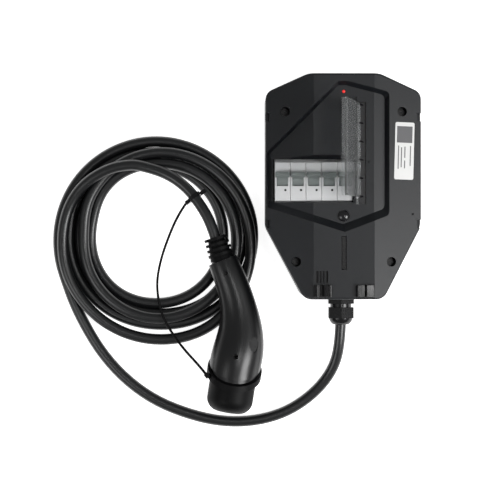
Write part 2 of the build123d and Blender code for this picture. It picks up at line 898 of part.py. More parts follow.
# DIN rail across the posts
with BuildPart() as din_rail:
    rail_start = module_first_x - rail_overhang
    rail_length = module_count * module_pitch + 2 * rail_overhang
    outer, inner, top = rail_width / 2, rail_base_half - rail_thickness, rail_height
    half_profile = [
        (outer, top - rail_thickness),
        (outer, top),
        (inner, top),
        (inner, rail_thickness),
    ]
    with BuildSketch(Plane.YZ.offset(rail_start)):
        with BuildLine():
            points = half_profile + [(-u, v) for u, v in reversed(half_profile)]
            points += [(-rail_base_half, top - rail_thickness), (-rail_base_half, 0.0)]
            points += [(rail_base_half, 0.0), (rail_base_half, top - rail_thickness)]
            Polyline(*[(u + module_y, v + rail_z) for u, v in points], close=True)
        make_face()
    extrude(amount=rail_length)
write(din_rail.part, "din_rail")


def module_housing(index):
    """Housing of one module with the window and pocket for its toggle."""
    low_x = module_first_x + index * module_pitch
    middle_x = low_x + module_width / 2
    face_half, height_half = module_face_height / 2, module_height / 2
    rail_half = rail_width / 2 + fit
    rail_top = rail_z + rail_height + fit
    right = [
        (rail_half, rail_top),
        (rail_half, module_back_z),
        (height_half, module_back_z),
        (height_half, module_shoulder_z),
        (face_half, module_shoulder_z),
        (face_half, module_face_z),
    ]
    left = [(-u, v) for u, v in reversed(right)]
    with BuildPart() as housing:
        with BuildSketch(Plane.YZ.offset(low_x)):
            with BuildLine():
                Polyline(*[(u + module_y, v) for u, v in right + left], close=True)
            make_face()
        extrude(amount=module_width)
        chamfer(housing.faces().sort_by(Axis.Z)[-1].edges(), module_edge)
        pocket_width_x = toggle_drum_width + 2 * fit
        with Locations(Location((middle_x, toggle_y, toggle_z), (0, 90, 0))):
            Cylinder(toggle_drum_radius + fit, pocket_width_x, mode=Mode.SUBTRACT)
            Cylinder(toggle_shaft_radius + shaft_hole_clearance, 2 * module_width, mode=Mode.SUBTRACT)
        with Locations((middle_x, toggle_y, toggle_z)):
            Box(
                pocket_width_x,
                2 * toggle_window_half,
                module_face_z,
                align=(Align.CENTER, Align.CENTER, Align.MIN),
                mode=Mode.SUBTRACT,
            )
        with Locations((middle_x + flag_offset_x, flag_y, module_face_z)):
            Cylinder(flag_radius, 2 * flag_depth, mode=Mode.SUBTRACT)
    return housing.part


def module_toggle(index, stub):
    """Toggle of one module. A stub length above zero gives it its own axle ends instead of a bore."""
    middle_x = module_first_x + index * module_pitch + module_width / 2
    lean = radians(toggle_lean)
    plane = Plane(origin=(middle_x, toggle_y, toggle_z), x_dir=(0, sin(lean), cos(lean)), z_dir=(1, 0, 0))
    with BuildPart() as toggle:
        with BuildSketch(plane):
            Circle(toggle_drum_radius)
            with Locations((toggle_reach / 2, 0)):
                Rectangle(toggle_reach, toggle_thickness)
        extrude(amount=toggle_drum_width / 2, both=True)
        with BuildSketch(plane):
            with Locations(((toggle_handle_start + toggle_reach) / 2, 0)):
                Rectangle(toggle_reach - toggle_handle_start, toggle_thickness)
        extrude(amount=toggle_handle_width / 2, both=True)
        tip = Vector(middle_x, toggle_y, toggle_z) + plane.x_dir * toggle_reach
        tip_face = toggle.faces().sort_by_distance(tip)[0]
        fillet(tip_face.edges(), 1.1)
        if stub > 0:
            with BuildSketch(plane):
                Circle(toggle_shaft_radius)
            extrude(amount=toggle_drum_width / 2 + stub, both=True)
        else:
            with BuildSketch(plane):
                Circle(toggle_shaft_radius + toggle_bore_clearance)
            extrude(amount=module_width, both=True, mode=Mode.SUBTRACT)
    return toggle.part


# Five modules: four tied poles of the main breaker, and one module by itself
stub_length = 1.6
for index in range(module_count):
    tied = index < tied_poles
    write(module_housing(index), f"breaker_pole_{index + 1}" if tied else "residual_module")
    write(
        module_toggle(index, 0.0 if tied else stub_length),
        f"breaker_toggle_{index + 1}" if tied else "residual_toggle",
    )

# Flag discs in the small holes of the modules
with BuildPart() as contact_flags:
    for index in range(module_count):
        flag_x = module_first_x + index * module_pitch + module_width / 2 + flag_offset_x
        with Locations((flag_x, flag_y, module_face_z - flag_depth + 0.02)):
            Cylinder(
                flag_radius - 0.05, flag_disc_thickness, align=(Align.CENTER, Align.CENTER, Align.MIN)
            )
write(contact_flags.part, "contact_flags")

# Shaft that ties the four toggles
with BuildPart() as toggle_shaft:
    shaft_length = tied_poles * module_pitch - module_gap - 2.0
    with Locations(Location((module_first_x + 1.0, toggle_y, toggle_z), (0, 90, 0))):
        Cylinder(toggle_shaft_radius, shaft_length, align=(Align.CENTER, Align.CENTER, Align.MIN))
write(toggle_shaft.part, "toggle_shaft")

# Hinge bracket: a strip in the slot with lugs that stand between the knuckles of the door
lug_ys = [hinge_low_y + k * hinge_pitch for k in range(knuckle_count + 1)]
slot_under_z = recess_floor_z - slot_depth
bracket_low_z = slot_under_z + seam
bracket_left = slot_left + fit
with BuildPart() as hinge_bracket:
    with Locations((bracket_left, slot_low_y + fit, bracket_low_z)):
        Box(
            slot_width - 2 * fit,
            slot_high_y - slot_low_y - 2 * fit,
            bracket_thickness,
            align=(Align.MIN, Align.MIN, Align.MIN),
        )
    for y in lug_ys:
        with BuildSketch(Plane.XZ.offset(-y)):
            with BuildLine():
                Polyline(
                    (hinge_x - lug_radius, recess_floor_z + fit),
                    (hinge_x - lug_radius, hinge_z),
                    (hinge_x + lug_radius, hinge_z),
                    (bracket_left + 3.4, recess_floor_z + 1.5),
                    (bracket_left + 3.4, bracket_low_z),
                    (bracket_left, bracket_low_z),
                    (bracket_left, recess_floor_z + fit),
                    close=True,
                )
            make_face()
            with Locations((hinge_x, hinge_z)):
                Circle(lug_radius)
        extrude(amount=lug_thickness / 2, both=True)
    with BuildSketch(Plane.XZ.offset(-slot_high_y)):
        with Locations((hinge_x, hinge_z)):
            Circle(hinge_pin_radius + hinge_bore_clearance)
    extrude(amount=slot_high_y - slot_low_y, mode=Mode.SUBTRACT)
write(hinge_bracket.part, "hinge_bracket")

# Hinge pin through all lugs and knuckles
pin_low_y = lug_ys[0] - lug_thickness / 2 - pin_overhang
pin_high_y = lug_ys[-1] + lug_thickness / 2 + pin_overhang
with BuildPart() as hinge_pin:
    with BuildSketch(Plane.XZ.offset(-pin_low_y)):
        with Locations((hinge_x, hinge_z)):
            Circle(hinge_pin_radius)
    extrude(amount=pin_low_y - pin_high_y)
    chamfer(hinge_pin.edges().filter_by(GeomType.CIRCLE), 0.3)
write(hinge_pin.part, "hinge_pin")

# Clear door, standing open: knuckles, plate, grip along its free edge, raised frame and latch tab
lean = radians(door_lean)
door_along = Vector(-sin(lean), 0, cos(lean))
door_out = Vector(cos(lean), 0, sin(lean))
door_low = lug_ys[0] - lug_thickness / 2
door_high = lug_ys[-1] + lug_thickness / 2
door_profile = Plane(origin=(hinge_x, door_low, hinge_z), x_dir=door_along, z_dir=(0, 1, 0))
door_top = door_offset + door_thickness
door_middle = (hinge_x, (door_low + door_high) / 2, hinge_z)
outer_origin = Vector(*door_middle) + door_out * door_top
door_outside = Plane(origin=outer_origin, x_dir=door_along, z_dir=door_out)
with BuildPart() as clear_door:
    with BuildSketch(door_profile):
        Circle(knuckle_radius)
        with Locations((door_width / 2, door_offset + door_thickness / 2)):
            Rectangle(door_width, door_thickness)
        with Locations((door_width - door_rim_width / 2, (door_top - door_rim_depth) / 2)):
            Rectangle(door_rim_width, door_top + door_rim_depth)
    extrude(amount=door_high - door_low)
    ridge_length = door_width - door_ridge_start
    with BuildSketch(door_outside):
        with Locations((door_ridge_start + ridge_length / 2, 0)):
            Rectangle(ridge_length, door_high - door_low)
            Rectangle(
                ridge_length - 2 * door_ridge_width,
                door_high - door_low - 2 * door_ridge_width,
                mode=Mode.SUBTRACT,
            )
    extrude(amount=door_ridge_height)
    with BuildSketch(door_profile):
        with Locations((latch_tab_start + latch_tab_width / 2, door_offset + door_thickness / 2)):
            Rectangle(latch_tab_width, door_thickness)
    extrude(amount=-latch_tab_length)
    notch_reach = lug_radius + fit + 1.0
    for y in lug_ys:
        notch_origin = (hinge_x, y, hinge_z)
        with BuildSketch(Plane(origin=notch_origin, x_dir=door_along, z_dir=(0, 1, 0))):
            with Locations(((notch_reach - knuckle_radius - 1.0) / 2, 0)):
                Rectangle(notch_reach + knuckle_radius + 1.0, 4 * knuckle_radius)
        extrude(amount=lug_thickness / 2 + fit, both=True, mode=Mode.SUBTRACT)
    with BuildSketch(door_profile):
        Circle(hinge_pin_radius + hinge_bore_clearance)
    extrude(amount=door_high - door_low, mode=Mode.SUBTRACT)
write(clear_door.part, "clear_door")

# Gland in the foot wall: body with flange and thread, locknut inside, seal and domed nut outside
gland_wall = Plane.XZ.offset(half_height)
flange_end = gland_flange_length
neck_end = flange_end + gland_neck_length
spigot_end = neck_end + gland_spigot_length
nut_start = neck_end
nut_end = nut_start + nut_length
dome_end = nut_end + nut_dome_length
with BuildPart() as gland_body:
    with BuildSketch(gland_wall):
        with Locations((0, gland_z)):
            RegularPolygon(gland_flats / 2, 6, major_radius=False, rotation=30)
    extrude(amount=flange_end)
    with BuildSketch(gland_wall.offset(-gland_inside_length)):
        with Locations((0, gland_z)):
            Circle(gland_thread_radius)
    extrude(amount=gland_inside_length + neck_end)
    with BuildSketch(gland_wall.offset(neck_end)):
        with Locations((0, gland_z)):
            Circle(spigot_radius)
    extrude(amount=gland_spigot_length)
    with BuildSketch(gland_wall.offset(-gland_inside_length)):
        with Locations((0, gland_z)):
            Circle(gland_bore)
    extrude(amount=gland_inside_length + spigot_end, mode=Mode.SUBTRACT)
write(gland_body.part, "gland_body")

with BuildPart() as gland_locknut:
    with BuildSketch(gland_wall.offset(-wall)):
        with Locations((0, gland_z)):
            RegularPolygon(gland_flats / 2, 6, major_radius=False)
            Circle(gland_thread_radius + 0.1, mode=Mode.SUBTRACT)
    extrude(amount=-locknut_length)
write(gland_locknut.part, "gland_locknut")

with BuildPart() as gland_nut:
    with BuildSketch(gland_wall.offset(nut_start + seam)):
        with Locations((0, gland_z)):
            RegularPolygon(nut_flats / 2, 6, major_radius=False, rotation=30)
    extrude(amount=nut_length - seam)
    dome_plane = gland_wall.offset(nut_end)
    with BuildSketch(dome_plane):
        with Locations((0, gland_z)):
            Circle(nut_flats / 2 - 0.6)
    with BuildSketch(dome_plane.offset(nut_dome_length / 2)):
        with Locations((0, gland_z)):
            Circle(nut_flats / 2 - 1.9)
    with BuildSketch(dome_plane.offset(nut_dome_length)):
        with Locations((0, gland_z)):
            Circle(nut_dome_end)
    loft()
    with BuildSketch(gland_wall.offset(nut_start)):
        with Locations((0, gland_z)):
            Circle(spigot_radius + 0.1)
    extrude(amount=nut_length + 1.0, mode=Mode.SUBTRACT)
    with BuildSketch(gland_wall.offset(nut_start)):
        with Locations((0, gland_z)):
            Circle(nut_bore)
    extrude(amount=dome_end, mode=Mode.SUBTRACT)
write(gland_nut.part, "gland_nut")

with BuildPart() as gland_seal:
    with BuildSketch(gland_wall.offset(spigot_end + 0.1)):
        with Locations((0, gland_z)):
            Circle(spigot_radius)
            Circle(cable_radius + 0.1, mode=Mode.SUBTRACT)
    extrude(amount=nut_end + 0.9 - spigot_end - 0.1)
write(gland_seal.part, "gland_seal")

# Closed grommet in the back wall, for the supply cable that comes out of the wall
with BuildPart() as supply_grommet:
    with Locations((0, grommet_y, 0)):
        with Locations((0, 0, 0.1)):
            Cylinder(
                grommet_radius + grommet_flange - fit,
                grommet_sink - 0.2,
                align=(Align.CENTER, Align.CENTER, Align.MIN),
            )
            Cylinder(grommet_radius - 0.2, wall, align=(Align.CENTER, Align.CENTER, Align.MIN))
        with Locations((0, 0, wall + 0.1)):
            Cylinder(grommet_radius + grommet_flange, 1.6, align=(Align.CENTER, Align.CENTER, Align.MIN))
    ring_centre = (0, grommet_y, wall + 1.7)
    with Locations(ring_centre):
        Cylinder(grommet_radius - 3.0, 1.2, mode=Mode.SUBTRACT)
write(supply_grommet.part, "supply_grommet")

# Control board with its larger parts
with BuildPart() as control_board:
    with Locations((0, control_y, control_z)):
        Box(control_width, control_height, board_thickness, align=(Align.CENTER, Align.CENTER, Align.MIN))
    for x, y, width, depth, height in (
        (-26.0, 8.0, 22.0, 16.0, 17.0),
        (2.0, 8.0, 22.0, 16.0, 17.0),
        (28.0, 9.0, 14.0, 14.0, 3.0),
        (-22.0, -12.0, 30.0, 9.0, 11.0),
        (16.0, -11.0, 16.0, 10.0, 8.0),
    ):
        with Locations((x, control_y + y, control_z + board_thickness)):
            Box(width, depth, height, align=(Align.CENTER, Align.CENTER, Align.MIN))
write(control_board.part, "control_board")


def housed_part(x, y, size, grooves):
    """Box-shaped component on the back wall with vent grooves across its top."""
    width, depth, height = size
    with BuildPart() as block:
        with Locations((x, y, wall + seam)):
            Box(width, depth, height, align=(Align.CENTER, Align.CENTER, Align.MIN))
        fillet(block.edges().filter_by(Axis.Z), 1.5)
        chamfer(block.faces().sort_by(Axis.Z)[-1].edges(), 0.8)
        for k in range(grooves):
            place = x - width / 2 + width * (k + 0.5) / grooves
            with Locations((place, y, wall + seam + height)):
                Box(width / grooves / 2, depth * 0.6, 2.4, mode=Mode.SUBTRACT)
    return block.part


write(housed_part(supply_x, supply_y, supply_size, 6), "power_supply")
write(housed_part(contactor_x, contactor_y, contactor_size, 4), "contactor")
write(housed_part(terminal_x, terminal_y, terminal_size, 5), "terminal_block")

# Leakage sensor: a ring that the supply wires pass through
with BuildPart() as leakage_sensor:
    with Locations((sensor_x, sensor_y, wall + seam)):
        Cylinder(sensor_radius, sensor_height, align=(Align.CENTER, Align.CENTER, Align.MIN))
    fillet(leakage_sensor.edges(), 2.0)
    with Locations((sensor_x, sensor_y, wall + seam)):
        Cylinder(sensor_bore, 4 * sensor_height, mode=Mode.SUBTRACT)
write(leakage_sensor.part, "leakage_sensor")

# Wires from the four poles to the terminal block, nested so that none crosses another
pole_foot_y = module_y - module_height / 2
terminal_foot_y = terminal_y - terminal_size[1] / 2
internal_wires = []
for index in range(tied_poles):
    start_x = module_first_x + index * module_pitch + module_width / 2
    low_y = pole_foot_y - wire_step * (tied_poles - index) - 2.0
    end_x = terminal_x + terminal_size[0] / 2 - 5.0 - 10.0 * index
    wire_low_z = wall + seam + terminal_size[2] / 2
    wire_points = [
        (start_x, pole_foot_y - 0.05, wire_z),
        (start_x, low_y, wire_z),
        (end_x, low_y, wire_low_z),
        (end_x, terminal_foot_y - 0.05, wire_low_z),
    ]
    with BuildPart() as wire:
        with BuildLine() as wire_path:
            FilletPolyline(*wire_points, radius=2.5)
        with BuildSketch(Plane(origin=wire_path.line @ 0, z_dir=wire_path.line % 0)):
            Circle(wire_radius)
        sweep(path=wire_path.line)
    internal_wires.append(wire.part)
write(Compound(children=internal_wires), "internal_wires")

# Cable: the tail from the gland, and the lead from the coil to the connector
boot_line = Vector(boot_end[0] - boot_start[0], boot_end[1] - boot_start[1], 0)
boot_along = boot_line.normalized()
for distance in (lead_past_boot, lead_in_boot):
    lead_route.insert(0, tuple(Vector(*boot_start, connector_z) + boot_along * distance))
with BuildPart() as cable_tail:
    add(tube_along(tail_route, cable_radius, "cable_tail"))
    with BuildSketch(Plane.XZ.offset(-tail_route[0][1])):
        with Locations((0, gland_z)):
            Circle(cable_radius)
    extrude(amount=-tail_inside)
write(cable_tail.part, "cable_tail")
write(tube_along(lead_route, cable_radius, "cable_lead"), "cable_lead")

# Coil: outer shape of the wound cable
with BuildPart() as cable_coil:
    with Locations((*coil_centre, floor_gap)):
        Cylinder(coil_outer, coil_height, align=(Align.CENTER, Align.CENTER, Align.MIN))
        Cylinder(coil_inner, 4 * coil_height, mode=Mode.SUBTRACT)
    fillet(cable_coil.edges().filter_by(GeomType.CIRCLE), coil_edge)
write(cable_coil.part, "cable_coil")

# Connector planes: a section across each place of its line, and the frame of the nose
section_planes = []
for i, (x, y, width, height) in enumerate(connector_sections):
    before = connector_sections[max(i - 1, 0)]
    after = connector_sections[min(i + 1, len(connector_sections) - 1)]
    along = Vector(after[0] - before[0], after[1] - before[1], 0).normalized()
    section_planes.append(
        Plane(origin=(x, y, connector_z), x_dir=(-along.Y, along.X, 0), z_dir=along)
    )
yaw = radians(nose_yaw)
tilt = radians(collar_tilt)
nose_along = Vector(-sin(yaw), -cos(yaw), 0)
nose_right = Vector(cos(yaw), -sin(yaw), 0)
nose_place = Vector(*connector_sections[-2][:2], connector_z)
nose_plane = Plane(origin=nose_place, x_dir=nose_right, z_dir=nose_along)
tilted_normal = nose_along * cos(tilt) - Vector(0, 0, 1) * sin(tilt)


def tilted_plane(distance):
    """Plane across the nose that leans like the collar, at a distance along the nose."""
    return Plane(origin=nose_place + nose_along * distance, x_dir=nose_right, z_dir=tilted_normal)


def case_solid(inset):
    """Solid inside the connector's outer surface, moved inwards by inset."""
    with BuildPart() as solid:
        for plane, (_, _, width, height) in zip(section_planes, connector_sections):
            with BuildSketch(plane):
                Ellipse(width / 2 - inset, height / 2 - inset)
        loft()
    return solid.part


case_outside = case_solid(0)
case_inside = case_solid(shell_wall)
with BuildPart() as case_posts:
    for x, y in case_screw_places:
        with Locations((x, y, connector_z)):
            Cylinder(case_post_radius, 80.0)
    add(case_outside, mode=Mode.INTERSECT)

thumb_section = connector_sections[-3]
thumb_offset = thumb_place[0] - thumb_section[0]
thumb_a, thumb_b = thumb_section[2] / 2, thumb_section[3] / 2
thumb_rise = thumb_b * (1 - (thumb_offset / thumb_a) ** 2) ** 0.5
thumb_normal = Vector(thumb_offset / thumb_a**2, 0, thumb_rise / thumb_b**2).normalized()
thumb_plane = Plane(
    origin=(*thumb_place, connector_z + thumb_rise), x_dir=(0, -1, 0), z_dir=thumb_normal
)


def case_half(keep):
    """One half of the connector's case, split level through its axis."""
    with BuildPart() as half:
        add(case_outside)
        add(case_inside, mode=Mode.SUBTRACT)
        add(case_posts.part)
        split(bisect_by=tilted_plane(shell_front), keep=Keep.BOTTOM)
        split(bisect_by=Plane.XY.offset(connector_z), keep=keep)
        top = keep == Keep.TOP
        for x, y in case_screw_places:
            with Locations((x, y, connector_z)):
                Cylinder(case_screw_radius + 0.1, 2 * case_screw_length + 2.0, mode=Mode.SUBTRACT)
            if top:
                with Locations((x, y, connector_z + case_seat_z)):
                    Cylinder(
                        case_well_radius,
                        60.0,
                        align=(Align.CENTER, Align.CENTER, Align.MIN),
                        mode=Mode.SUBTRACT,
                    )
        if top:
            with BuildSketch(thumb_plane.offset(-thumb_depth)):
                Ellipse(thumb_length / 2, thumb_width / 2)
            extrude(amount=10.0, mode=Mode.SUBTRACT)
    return half.part


write(case_half(Keep.TOP), "connector_upper_shell")
write(case_half(Keep.BOTTOM), "connector_lower_shell")

# Two screws that hold the halves of the case
with BuildPart() as connector_screws:
    for x, y in case_screw_places:
        with Locations((x, y, connector_z + case_seat_z)):
            Cylinder(case_head_radius, case_head_height, align=(Align.CENTER, Align.CENTER, Align.MIN))
            Cylinder(
                case_screw_radius,
                case_screw_length + case_seat_z,
                align=(Align.CENTER, Align.CENTER, Align.MAX),
            )
write(connector_screws.part, "connector_screws")

# Nose of the connector: leaning flange, flat-sided round nose and seven sockets
flange_back = shell_front + 0.1
flange_front = flange_back + flange_thickness
with BuildPart() as connector_nose:
    with BuildSketch(nose_plane.offset(-30.0)):
        Circle(flange_radius)
    extrude(amount=70.0)
    split(bisect_by=tilted_plane(flange_back), keep=Keep.TOP)
    split(bisect_by=tilted_plane(flange_front), keep=Keep.BOTTOM)
    with BuildSketch(nose_plane.offset(flange_back)):
        Circle(nose_radius)
        with Locations((nose_flat + nose_radius, 0)):
            Rectangle(2 * nose_radius, 3 * nose_radius, mode=Mode.SUBTRACT)
    extrude(amount=nose_end - flange_back)
    chamfer(connector_nose.faces().sort_by_distance(nose_plane.origin + nose_along * 60)[0].edges(), 0.8)
    with BuildSketch(nose_plane.offset(contact_start)):
        with Locations(*power_places):
            Circle(power_hole)
        with Locations(*pilot_places):
            Circle(pilot_hole)
    extrude(amount=nose_end, mode=Mode.SUBTRACT)
write(connector_nose.part, "connector_nose")

# Contact sleeves in the sockets
with BuildPart() as contact_sleeves:
    with BuildSketch(nose_plane.offset(contact_start + 0.1)):
        with Locations(*power_places):
            Circle(power_hole - contact_clearance)
        with Locations(*pilot_places):
            Circle(pilot_hole - contact_clearance)
    extrude(amount=contact_end - contact_start)
    with BuildSketch(nose_plane.offset(contact_start + wall)):
        with Locations(*power_places):
            Circle(power_contact_bore)
        with Locations(*pilot_places):
            Circle(pilot_contact_bore)
    extrude(amount=contact_end, mode=Mode.SUBTRACT)
write(contact_sleeves.part, "contact_sleeves")

# Ribbed boot behind the case
boot_plane = Plane(origin=(*boot_start, connector_z), x_dir=(0, 0, 1), z_dir=boot_along)
with BuildPart() as strain_boot:
    with BuildSketch(boot_plane.offset(-boot_plug_length)):
        Circle(boot_plug)
    extrude(amount=boot_plug_length)
    with BuildSketch(boot_plane.offset(boot_seam)):
        Circle(boot_plug + 2.6)
    with BuildSketch(boot_plane.offset(boot_line.length)):
        Circle(boot_core - 1.2)
    loft()
    with BuildSketch(boot_plane):
        Circle(boot_plug)
    extrude(amount=2.0)
    for k in range(boot_rib_count):
        with BuildSketch(boot_plane.offset(boot_line.length - boot_rib_width - k * boot_rib_pitch)):
            Circle(boot_rib_radius + 0.3 * k)
        extrude(amount=boot_rib_width)
    with BuildSketch(boot_plane.offset(-boot_plug_length)):
        Circle(cable_radius + boot_clearance)
    extrude(amount=2 * boot_line.length, mode=Mode.SUBTRACT)
write(strain_boot.part, "strain_boot")

# Dust cap: cup with a leaning collar, and the lug for the tether
with BuildPart() as dust_cap:
    with BuildSketch(nose_plane.offset(-30.0)):
        Circle(cap_radius)
    extrude(amount=cap_end + 30.0)
    fillet(dust_cap.faces().sort_by_distance(nose_plane.origin + nose_along * 100)[0].edges(), cap_edge)
    with BuildSketch(nose_plane.offset(-30.0)):
        Circle(collar_radius)
    extrude(amount=collar_thickness + 30.0 + collar_radius)
    split(bisect_by=tilted_plane(flange_front + cap_gap), keep=Keep.TOP)
with BuildPart() as collar_trim:
    with BuildSketch(nose_plane.offset(-30.0)):
        Circle(2 * collar_radius)
        Circle(cap_radius, mode=Mode.SUBTRACT)
    extrude(amount=120.0)
    split(bisect_by=tilted_plane(flange_front + cap_gap + collar_thickness), keep=Keep.TOP)
collar_middle = flange_front + cap_gap + collar_thickness / 2
lug_reach = collar_radius + lug_block[0] / 2 - lug_sink
lug_rise = lug_reach * sin(radians(lug_angle))
lug_side = lug_reach * cos(radians(lug_angle))
lug_base = nose_place + nose_along * (collar_middle + lug_rise * tan(tilt))
lug_centre = lug_base - nose_right * lug_side + Vector(0, 0, lug_rise)
tether_run = Vector(cos(radians(tether_turn)), -sin(radians(tether_turn)), 0)
with BuildPart() as cap_bore_space:
    with BuildSketch(nose_plane.offset(-40.0)):
        Circle(cap_bore)
    extrude(amount=cap_end - cap_roof + 40.0)
    fillet(
        cap_bore_space.faces().sort_by_distance(nose_plane.origin + nose_along * 100)[0].edges(),
        cap_bore_edge,
    )
with BuildPart() as finished_cap:
    add(dust_cap.part)
    add(collar_trim.part, mode=Mode.SUBTRACT)
    with BuildSketch(Plane(origin=lug_centre, x_dir=tether_run, z_dir=(0, 0, 1))):
        RectangleRounded(lug_block[0], lug_block[1], 1.0)
    extrude(amount=lug_block[2] / 2, both=True)
    add(cap_bore_space.part, mode=Mode.SUBTRACT)
write(finished_cap.part, "dust_cap")

# Tie round the lead, with its head on the side of the tether
tie_low, tie_high = [Vector(*place) for place in lead_route[2:4]]
tie_centre = (tie_low + tie_high) / 2
tie_along = (tie_high - tie_low).normalized()
tie_side = Vector(-tie_along.Y, tie_along.X, 0).normalized()
tie_plane = Plane(origin=tie_centre, x_dir=tie_side, z_dir=tie_along)
tie_inner = cable_radius + tie_clearance
tie_outer = tie_inner + tie_thickness
with BuildPart() as cable_tie:
    with BuildSketch(tie_plane):
        Circle(tie_outer)
        with Locations((tie_outer + tie_head / 2 - 1.0, 0)):
            RectangleRounded(tie_head, tie_head, 0.8)
        with Locations((-tie_strap / 2, -tie_outer + tie_thickness / 2)):
            Rectangle(tie_strap, tie_thickness)
        Circle(tie_inner, mode=Mode.SUBTRACT)
    extrude(amount=tie_width / 2, both=True)
write(cable_tie.part, "cable_tie")

# Tether from the tie to the lug of the dust cap
tether_start = tie_centre + tie_side * (tie_outer + tie_head - 1.0 + 0.2)
tether_end = lug_centre - tether_run * (lug_block[0] / 2 + tether_gap)
tether_approach = tether_end - tether_run * tether_last_run - Vector(0, 0, tether_last_rise)
tether_route = [tuple(tether_start)] + tether_middle + [tuple(tether_approach), tuple(tether_end)]
write(tube_along(tether_route, tether_radius, "cap_tether"), "cap_tether")
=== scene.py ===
import json
from math import cos, radians, sin

import bpy
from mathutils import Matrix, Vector


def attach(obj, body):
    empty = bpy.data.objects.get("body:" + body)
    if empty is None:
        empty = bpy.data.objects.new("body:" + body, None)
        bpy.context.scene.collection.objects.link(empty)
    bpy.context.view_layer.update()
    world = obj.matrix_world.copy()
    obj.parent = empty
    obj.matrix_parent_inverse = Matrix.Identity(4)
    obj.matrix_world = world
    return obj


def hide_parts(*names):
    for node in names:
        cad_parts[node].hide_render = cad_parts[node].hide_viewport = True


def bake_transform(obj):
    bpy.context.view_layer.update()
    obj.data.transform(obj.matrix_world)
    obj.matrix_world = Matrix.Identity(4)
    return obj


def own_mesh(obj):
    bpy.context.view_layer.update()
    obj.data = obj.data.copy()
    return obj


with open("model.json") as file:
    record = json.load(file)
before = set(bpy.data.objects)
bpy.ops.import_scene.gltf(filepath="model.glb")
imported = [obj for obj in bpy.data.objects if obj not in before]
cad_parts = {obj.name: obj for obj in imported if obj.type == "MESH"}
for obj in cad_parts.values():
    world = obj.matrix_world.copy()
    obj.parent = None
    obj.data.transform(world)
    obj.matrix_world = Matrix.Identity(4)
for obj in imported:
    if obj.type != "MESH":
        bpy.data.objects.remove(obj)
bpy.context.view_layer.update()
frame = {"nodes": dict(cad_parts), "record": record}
nodes = frame["nodes"]
MM = 0.001

# Camera: straight down on the object, over the middle of the photograph's frame
CAMERA_PLACE = (-0.1195, -0.0617, 2.0)
SENSOR_WIDTH, LENS = 36.0, 125.0
NEAR, FAR = 0.05, 30.0
camera_data = bpy.data.cameras.new("camera")
camera = bpy.data.objects.new("camera", camera_data)
bpy.context.scene.collection.objects.link(camera)
bpy.context.scene.camera = camera
camera.location = CAMERA_PLACE
camera_data.sensor_width = SENSOR_WIDTH
camera_data.lens = LENS
camera_data.clip_start, camera_data.clip_end = NEAR, FAR

# Charging cable in one run: from the gland, three loops on the floor, two on top of them, then over
# to the connector. A row of the coil holds the travel in degrees clockwise from its start, the radius
# and the height, in mm.
CABLE_RADIUS = 6.5
TETHER_RADIUS = 1.5
CURVE_STEPS, TUBE_STEPS = 6, 6
COIL = (-219.0, -61.5)
COIL_START = 200.0
COIL_STEP = 10
COIL_ROWS = [
    (0, 118.5, 6.9),
    (20, 117.8, 6.9),
    (65, 118.0, 6.9),
    (110, 118.0, 6.9),
    (155, 117.0, 6.9),
    (200, 115.5, 6.9),
    (240, 110.0, 6.9),
    (290, 101.5, 6.9),
    (335, 102.5, 6.9),
    (380, 105.0, 6.9),
    (425, 107.0, 6.9),
    (470, 104.8, 6.9),
    (515, 104.0, 6.9),
    (560, 102.3, 6.9),
    (605, 95.5, 6.9),
    (650, 88.5, 6.9),
    (695, 90.0, 6.9),
    (740, 92.2, 6.9),
    (785, 94.5, 6.9),
    (830, 90.2, 6.9),
    (875, 85.0, 6.9),
    (920, 79.5, 6.9),
    (965, 77.5, 6.9),
    (1010, 76.0, 6.9),
    (1055, 78.3, 6.9),
    (1100, 79.0, 7.4),
    (1120, 80.5, 10.0),
    (1140, 86.0, 14.0),
    (1160, 89.5, 17.4),
    (1190, 91.0, 20.0),
    (1235, 94.5, 20.2),
    (1280, 95.6, 20.2),
    (1325, 94.8, 20.2),
    (1370, 93.3, 20.2),
    (1415, 89.3, 20.2),
    (1460, 86.3, 20.4),
    (1472, 87.6, 21.0),
    (1487, 92.0, 22.4),
    (1500, 95.0, 23.2),
    (1520, 99.0, 22.6),
    (1550, 104.0, 20.4),
    (1595, 108.2, 20.2),
    (1640, 112.5, 20.2),
    (1670, 117.0, 19.2),
    (1700, 121.0, 16.5),
    (1730, 119.0, 14.5),
    (1775, 114.5, 18.2),
    (1800, 113.2, 20.2),
    (1820, 111.5, 20.8),
    (1843, 110.5, 23.2),
    (1857, 107.5, 27.8),
    (1870, 102.6, 32.2),
    (1884, 97.6, 34.8),
]


def smooth(rows, step):
    """Values along rows of (place, values), eased from row to row, at every step."""
    slopes = []
    for i in range(len(rows)):
        before, after = rows[max(i - 1, 0)], rows[min(i + 1, len(rows) - 1)]
        slopes.append([(b - a) / (after[0] - before[0]) for a, b in zip(before, after)])
    out = []
    i = 0
    for k in range(int((rows[-1][0] - rows[0][0]) / step) + 1):
        place = rows[0][0] + k * step
        while place > rows[i + 1][0]:
            i += 1
        low, high, width = rows[i], rows[i + 1], rows[i + 1][0] - rows[i][0]
        s = (place - low[0]) / width
        blend = (2 * s**3 - 3 * s**2 + 1, 3 * s**2 - 2 * s**3, s**3 - 2 * s**2 + s, s**3 - s**2)
        row = [place]
        for j in range(1, len(low)):
            ends = (low[j], high[j], slopes[i][j] * width, slopes[i + 1][j] * width)
            row.append(sum(share * value for share, value in zip(blend, ends)))
        out.append(row)
    return out


def coil_points():
    """The coil's loops as places, wound clockwise seen from above."""
    points = []
    for travel, radius, z in smooth(COIL_ROWS, COIL_STEP):
        angle = radians(COIL_START - travel)
        points.append((COIL[0] + radius * cos(angle), COIL[1] + radius * sin(angle), z))
    return points


